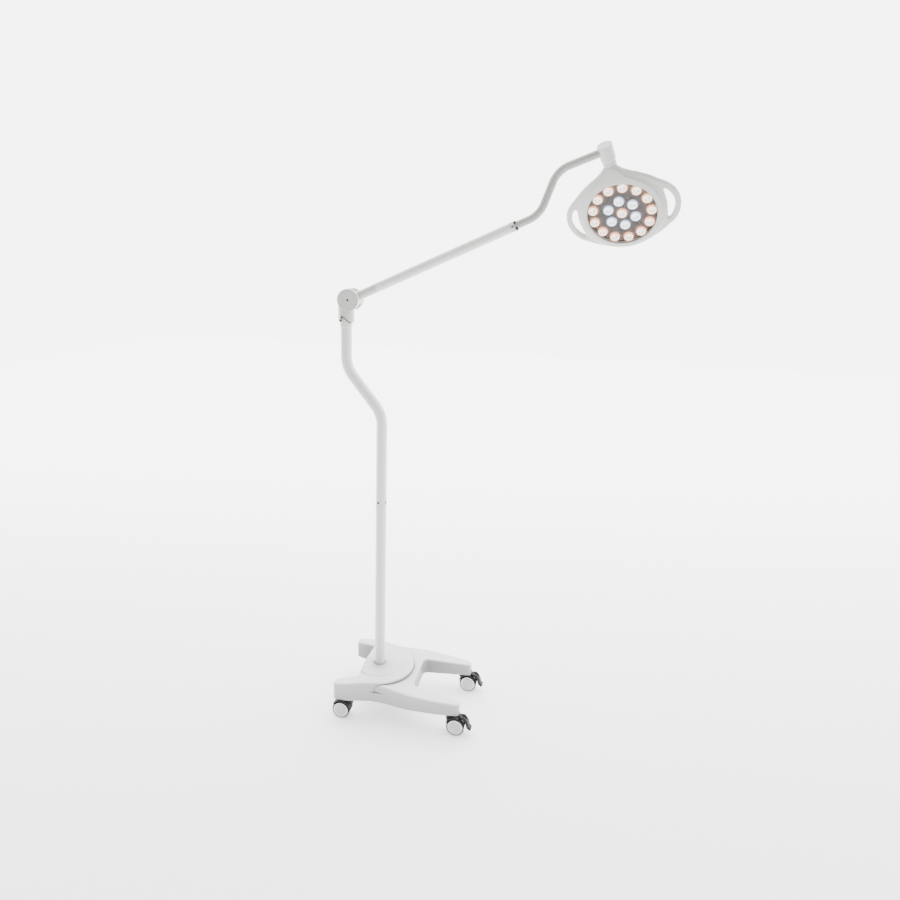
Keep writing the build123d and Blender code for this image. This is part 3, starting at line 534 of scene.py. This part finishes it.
def smooth_shading(obj, angle=None):
    """Shade smooth, with edges sharper than the angle in degrees kept crisp."""
    for face in obj.data.polygons:
        face.use_smooth = True
    if angle:
        obj.data.set_sharp_from_angle(angle=radians(angle))


ANGLES = [i * 2.5 for i in range(-72, 72)]


def loft(name, profile_at, closed=True):
    """Mesh swept once round the window's axis through a profile that changes with the angle."""
    profiles = [profile_at(angle) for angle in ANGLES]
    loops = [[polar(angle, *rows[k]) for angle, rows in zip(ANGLES, profiles)]
             for k in range(len(profiles[0]))]
    return grid_mesh(name, loops, closed)


def lathe(name, rows, steps=96):
    """Body of revolution about the window's axis; rows are (radius, n)."""
    loops = [[polar(i * 360 / steps, r, n) for i in range(steps)] for r, n in rows]
    return grid_mesh(name, loops)


# height up the neck, radius and flatness of the round socket that flares into the shell
NECK_SECTIONS = ((84, 52, 0.42), (100, 45, 0.46), (112, 36, 0.56), (124, 29, 0.70), (136, 24.5, 0.84),
                 (146, 21.6, 0.96), (155, 20.7, 1.0), (161.8, 20.5, 1.0))
NECK_AXIS = -35

# edge of the gap inside a grip, as (sideways, up), and the depths at which its prism is drawn
GRIP_EDGE = ((138, 50), (150, 38), (159, 20), (162.5, -2), (158, -24), (147, -45), (134, -60),
             (129.5, -56), (134.5, -36), (137.5, -16), (138.5, 4), (137, 26), (134.5, 42))
GRIP_CENTRE = (147.0, -5.0)
GRIP_DEPTHS = (-60, -28, -22, -16, -10, 10)


def neck_socket():
    return grid_mesh("neck_part", [
        [head_point(radius * sin(radians(t)), u, NECK_AXIS + radius * flat * cos(radians(t)))
         for t in range(0, 360, 6)]
        for u, radius, flat in NECK_SECTIONS])


def grip_opening(side):
    """Crescent-shaped prism between the grip and the housing, wider away from the grip's middle depth."""
    centre_e, centre_u = GRIP_CENTRE
    rows = []
    for n in GRIP_DEPTHS:
        grow = 1.0 + 0.0035 * abs(n - WIDEST_LINE)
        wide, high = min(grow, 1.15), min(grow, 1.06)
        grown = [(centre_e + (e - centre_e) * wide, centre_u + (u - centre_u) * high) for e, u in GRIP_EDGE]
        rows.append([head_point(side * e, u, n) for e, u in grown])
    prism = grid_mesh("grip_opening", rows)
    rounder = prism.modifiers.new("round", "SUBSURF")
    rounder.levels = 2
    apply_all(prism)
    return prism


def combine(obj, tool, operation):
    """Join a tool's shape to an object or take it out, and delete the tool."""
    change = obj.modifiers.new("combine", "BOOLEAN")
    change.operation = operation
    change.object = tool
    change.solver = "EXACT"
    apply_all(obj)
    bpy.data.objects.remove(tool)


shell = loft("lamp_shell", shell_profile)
for side in (-1, 1):
    combine(shell, grip_opening(side), "DIFFERENCE")
combine(shell, neck_socket(), "UNION")

# one skin over the joined shapes, softened, then the two seats cut clean again
remesh = shell.modifiers.new("skin", "REMESH")
remesh.mode = "VOXEL"
remesh.voxel_size = 0.0019
soft = shell.modifiers.new("soft", "SMOOTH")
soft.factor = 0.5
soft.iterations = 14
apply_all(shell)
FRONT_SEAT_RADIUS = 109.5
BACK_SEAT_RADIUS = 96.3
for name, radius, front, back in (
    ("seat", FRONT_SEAT_RADIUS, 20.0, -52.0),
    ("back_seat", BACK_SEAT_RADIUS, -40.0, -80.0),
):
    combine(shell, lathe(name, ((radius, front), (radius, back))), "DIFFERENCE")
dress(shell, SHELL_PLASTIC)
smooth_shading(shell, 50)
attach(shell, "lamp_head")
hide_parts("head_housing")

LIP_RADIUS = 110.2
COVER_GAP = 0.4


def cover_profile(angle):
    """Profile of the front cover at one angle: round lip, then the teardrop face out to the crease."""
    edge = smooth_between(CREASE, angle) - COVER_GAP
    depth = crease_depth(angle)
    rows = [(108.9, -9.0), (108.7, -3.0), (109.0, -0.9)]
    for part in (0, 0.04, 0.1, 0.3, 0.5, 0.7, 0.86, 0.96):
        rows.append((LIP_RADIUS + (edge - LIP_RADIUS) * part, depth * part ** 1.6 - 0.5 * sin(pi * part)))
    return rows + [(edge, depth - 0.6), (edge + 0.1, depth - 3.0)]


cover = loft("lamp_front_cover", cover_profile, closed=False)
under = cover.modifiers.new("wall", "SOLIDIFY")
under.thickness = 0.0014
under.offset = 0.0
rounder = cover.modifiers.new("round", "SUBSURF")
rounder.levels = 1
rounder.render_levels = 1
apply_all(cover)
dress(cover, SHELL_PLASTIC)
smooth_shading(cover, 60)
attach(cover, "lamp_head")
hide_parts("front_cover")

# ---- lens rims and marks -----------------------------------------------------------

def ring_places(radius, count, start):
    """Places on a ring as (sideways, up), the first at an angle from the neck."""
    angles = [radians(start + i * 360 / count) for i in range(count)]
    return [(radius * sin(a), radius * cos(a)) for a in angles]


WARM_PLACES = ring_places(WARM_RING, WARM_COUNT, 180 / WARM_COUNT) + [(0.0, 0.0)]
COOL_PLACES = ring_places(COOL_RING, COOL_COUNT, 0.0)


def ring_on(bm, e, u, n, inner, outer, height, start=0.0, stop=360.0, steps=36):
    """Raised ring, or arc of a ring, on a lens."""
    width = outer - inner
    profile = ((inner, 0.0), (inner + width * 0.3, height), (inner + width * 0.7, height), (outer, 0.0))
    whole = stop - start >= 360
    count = steps if whole else steps + 1
    loops = []
    for i in range(count):
        a = radians(start + (stop - start) * i / steps)
        loops.append([bm.verts.new(head_point(e + r * sin(a), u + r * cos(a), n + h)) for r, h in profile])
    for i in range(steps):
        first, second = loops[i], loops[(i + 1) % count]
        for k in range(len(profile)):
            m = (k + 1) % len(profile)
            bm.faces.new((first[k], first[m], second[m], second[k]))
    if not whole:
        bm.faces.new(loops[0])
        bm.faces.new(list(reversed(loops[-1])))


def finish_piece(name, bm, material):
    obj = add_mesh(name, bm)
    dress(obj, material)
    smooth_shading(obj)
    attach(obj, "lamp_head")


def lit(name, colour, strength):
    """Plain surface that gives a little light of its own."""
    material, tree, shader = new_material(name)
    cells = noise(tree, 300.0, 3.0)
    darker = tuple(c * 0.9 for c in colour)
    tone = mix_colour(tree, spread(tree, cells, 0.3, 0.7, 0.0, 1.0), colour, darker)
    tree.links.new(tone, shader.inputs["Base Color"])
    tree.links.new(tone, shader.inputs["Emission Color"])
    shader.inputs["Emission Strength"].default_value = strength
    shader.inputs["Roughness"].default_value = 0.3
    return material


# a horseshoe on every lens: dark legs joined by a coloured arc, each lens turned a little differently
LENS_FACE = -5.2
RIM_INNER, RIM_OUTER = 12.9, 15.4
MARK_RADIUS = 5.9
MARK_HALF, MARK_ARC = 1.0, (118.0, 242.0)
LEG_HALF, LEG_ARCS = 1.7, ((66.0, 124.0), (236.0, 288.0))
MARK_TURN = 22.0
DOT_TONE = (0.10, 0.09, 0.09)
for name, places, rim, mark in (
    ("warm", WARM_PLACES, (1.0, 0.48, 0.24), (0.40, 0.20, 0.12)),
    ("cool", COOL_PLACES, (0.70, 0.84, 1.0), (0.12, 0.20, 0.46)),
):
    rims = bmesh.new()
    dots = bmesh.new()
    marks = bmesh.new()
    for i, (e, u) in enumerate(places):
        turn = MARK_TURN * sin(2.4 * i)
        ring_on(rims, e, u, LENS_FACE - 0.3, RIM_INNER, RIM_OUTER, 0.6)
        ring_on(marks, e, u, LENS_FACE - 0.05, MARK_RADIUS - MARK_HALF, MARK_RADIUS + MARK_HALF, 0.3,
                MARK_ARC[0] + turn, MARK_ARC[1] + turn)
        for start, stop in LEG_ARCS:
            ring_on(dots, e, u, LENS_FACE - 0.05, MARK_RADIUS - LEG_HALF, MARK_RADIUS + LEG_HALF, 0.4,
                    start + turn, stop + turn, steps=12)
    finish_piece(name + "_lens_rims", rims, lit(name + "_rim", rim, 0.9))
    finish_piece(name + "_lens_dots", dots, lit(name + "_dot", DOT_TONE, 0.25))
    finish_piece(name + "_lens_marks", marks, lit(name + "_mark", mark, 0.5))

# ---- floor, light, camera ---------------------------------------------------------

FLOOR_DROP = 0.0005
bpy.ops.mesh.primitive_plane_add(size=14, location=(0.4, 1.5, -FLOOR_DROP))
floor = bpy.context.object
floor.name = "floor"
FLOOR = coated("pale_floor", (0.86, 0.86, 0.86), 0.8, 90.0, 0.00005, patch=0.01)
paving = FLOOR.node_tree
shader = paving.nodes["Principled BSDF"]
# the floor brightens away from the front, so that it meets the background without a line
beyond = component(paving, offset_from(paving, (-0.4, -1.5, 0.0)), (-0.2, 0.98, 0.0))
shader.inputs["Emission Color"].default_value = (1.0, 1.0, 1.0, 1.0)
glow = spread(paving, beyond, -1.6, 3.0, 0.0, 3.25, smooth=True)
paving.links.new(glow, shader.inputs["Emission Strength"])
dress(floor, FLOOR)

# a bright wall beyond the object, a soft ceiling, and a dimmer room behind
world = bpy.data.worlds.new("studio")
bpy.context.scene.world = world
world.use_nodes = True
sky = world.node_tree
direction = sky.nodes.new("ShaderNodeTexCoord").outputs["Generated"]
ahead_part = component(sky, direction, (-0.15, 0.98, 0.1))
upward = component(sky, direction, (0.35, 0.2, 0.92))
glow = spread(sky, ahead_part, -0.3, 0.35, 0.45, 6.5, smooth=True)
glow = calc(sky, "MAXIMUM", glow, spread(sky, upward, 0.1, 0.95, 0.45, 2.0, smooth=True))
sky.nodes["Background"].inputs[0].default_value = (1.0, 0.998, 0.993, 1.0)
sky.links.new(glow, sky.nodes["Background"].inputs[1])


def area_light(name, place, target, size, power):
    """Square soft light that faces a point."""
    data = bpy.data.lights.new(name, "AREA")
    data.shape = "SQUARE"
    data.size = size
    data.energy = power
    obj = bpy.data.objects.new(name, data)
    bpy.context.scene.collection.objects.link(obj)
    obj.location = place
    obj.rotation_euler = (Vector(target) - Vector(place)).to_track_quat("-Z", "Y").to_euler()


area_light("key", (3.2, -0.4, 3.4), (0.2, 0.0, 0.9), 1.2, 45)
area_light("top", (0.2, 0.6, 4.4), (0.2, 0.0, 0.0), 2.4, 30)

CAMERA_PLACE = (0.6808, -2.1698, 1.6835)
CAMERA_HEADING = radians(11.53258)
CAMERA_DIP = radians(12.20336)
CAMERA_ROLL = radians(1.73984)
camera_data = bpy.data.cameras.new("camera")
camera = bpy.data.objects.new("camera", camera_data)
bpy.context.scene.collection.objects.link(camera)
level = Matrix.Rotation(pi / 2 - CAMERA_DIP, 4, "X") @ Matrix.Rotation(CAMERA_ROLL, 4, "Z")
camera.matrix_world = Matrix.Translation(CAMERA_PLACE) @ Matrix.Rotation(CAMERA_HEADING, 4, "Z") @ level
camera_data.sensor_width = 36.0
camera_data.lens = 26.92
camera_data.shift_y = -0.0656
bpy.context.scene.camera = camera
